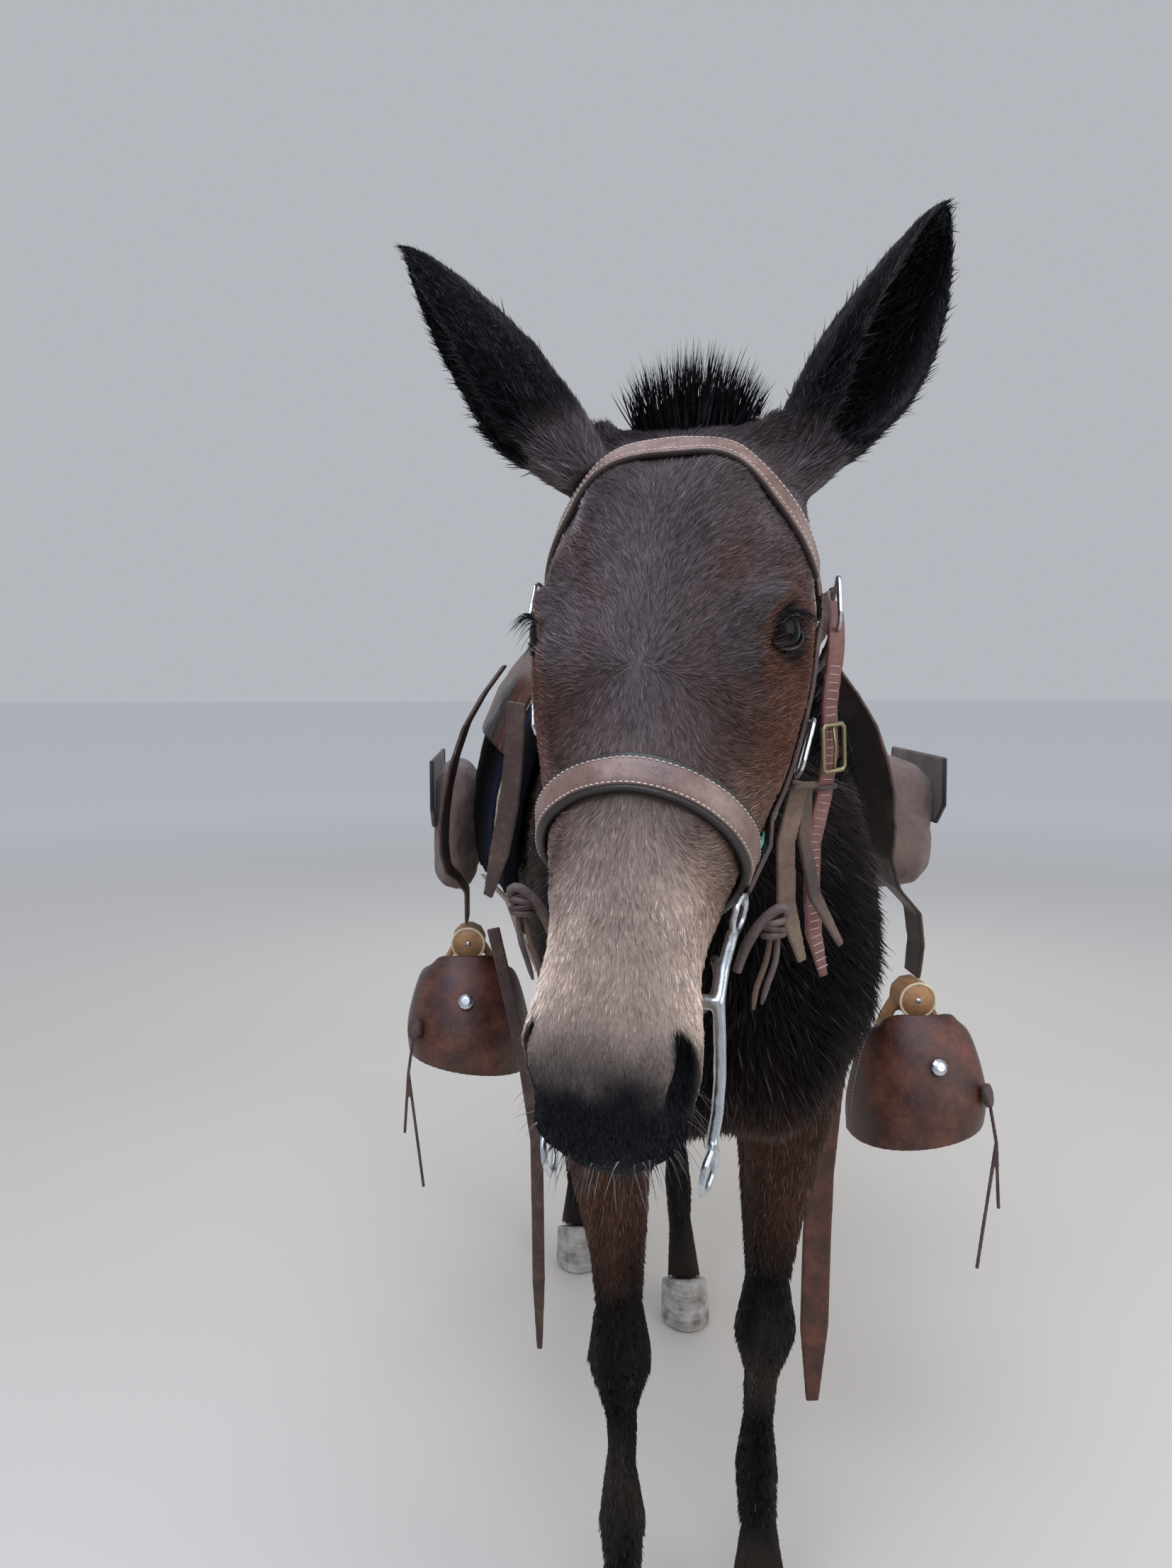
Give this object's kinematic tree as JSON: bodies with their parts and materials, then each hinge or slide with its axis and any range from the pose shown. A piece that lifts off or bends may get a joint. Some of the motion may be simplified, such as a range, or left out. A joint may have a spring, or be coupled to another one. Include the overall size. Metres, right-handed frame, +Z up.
{
  "type": "saddle mule, museum model",
  "caption": "Life-size dark brown mule standing with its head low and turned, in a western saddle with hooded stirrups, bags and bridle.",
  "frame": {"origin": "on the ground under the middle of the whole model's box", "axes": "+Z up, the mule faces -Y and its left side is +X"},
  "size_m": [0.9524, 2.1362, 1.725],
  "materials": {
    "bag_canvas": "brown canvas",
    "coat": "short brown hair over a firm body",
    "dark_leather": "dark brown leather, worn",
    "dark_points": "black hair",
    "eye": "wet dark eye",
    "hoof_horn": "dull grey horn",
    "leather": "reddish brown leather, worn",
    "mohair": "corded mohair",
    "nylon_webbing": "green webbing",
    "saddle_pad_wool": "woven wool, dark blue with black and cream stripes",
    "steel": "pale worn metal",
    "stirrup_wood": "bare wood"
  },
  "bodies": {
    "root": {"bag_flap_left": "dark_leather", "bag_flap_right": "dark_leather", "bag_yoke": "bag_canvas", "billet_left": "leather", "billet_right": "dark_leather", "bit": "steel", "browband": "leather", "buckle_brow_left": "steel", "buckle_brow_right": "steel", "buckle_cheek_left": "steel", "buckle_cheek_right": "steel", "buckle_halter_left": "steel", "cheek_strap_left": "dark_leather", "cheek_strap_right": "dark_leather", "cinch": "mohair", "concho_left": "steel", "concho_right": "steel", "crownpiece": "leather", "curb_strap": "dark_leather", "ear_left": "dark_points", "ear_right": "dark_points", "eye_left": "eye", "eye_right": "eye", "fender_left": "leather", "fender_right": "leather", "halter_strap_left": "leather", "halter_strap_right": "leather", "head": "coat", "hoof_fore_left": "hoof_horn", "hoof_fore_right": "hoof_horn", "hoof_hind_left": "hoof_horn", "hoof_hind_right": "hoof_horn", "leg_fore_left": "coat", "leg_fore_right": "coat", "leg_hind_left": "coat", "leg_hind_right": "coat", "neck": "coat", "noseband": "leather", "nylon_strip": "nylon_webbing", "rear_girth": "dark_leather", "saddle": "leather", "saddle_pad": "saddle_pad_wool", "saddle_skirts": "leather", "saddlebag_left": "bag_canvas", "saddlebag_right": "bag_canvas", "stirrup_left": "stirrup_wood", "stirrup_right": "stirrup_wood", "strap_end_left_front": "leather", "strap_end_left_middle": "leather", "strap_end_left_rear": "leather", "strap_end_right": "leather", "strings_left": "dark_leather", "strings_right": "dark_leather", "tail": "dark_points", "tapadero_left": "leather", "tapadero_right": "leather", "throat_latch": "dark_leather", "tie_left": "dark_leather", "tie_right": "dark_leather", "torso": "coat"}
  },
  "joints": []
}
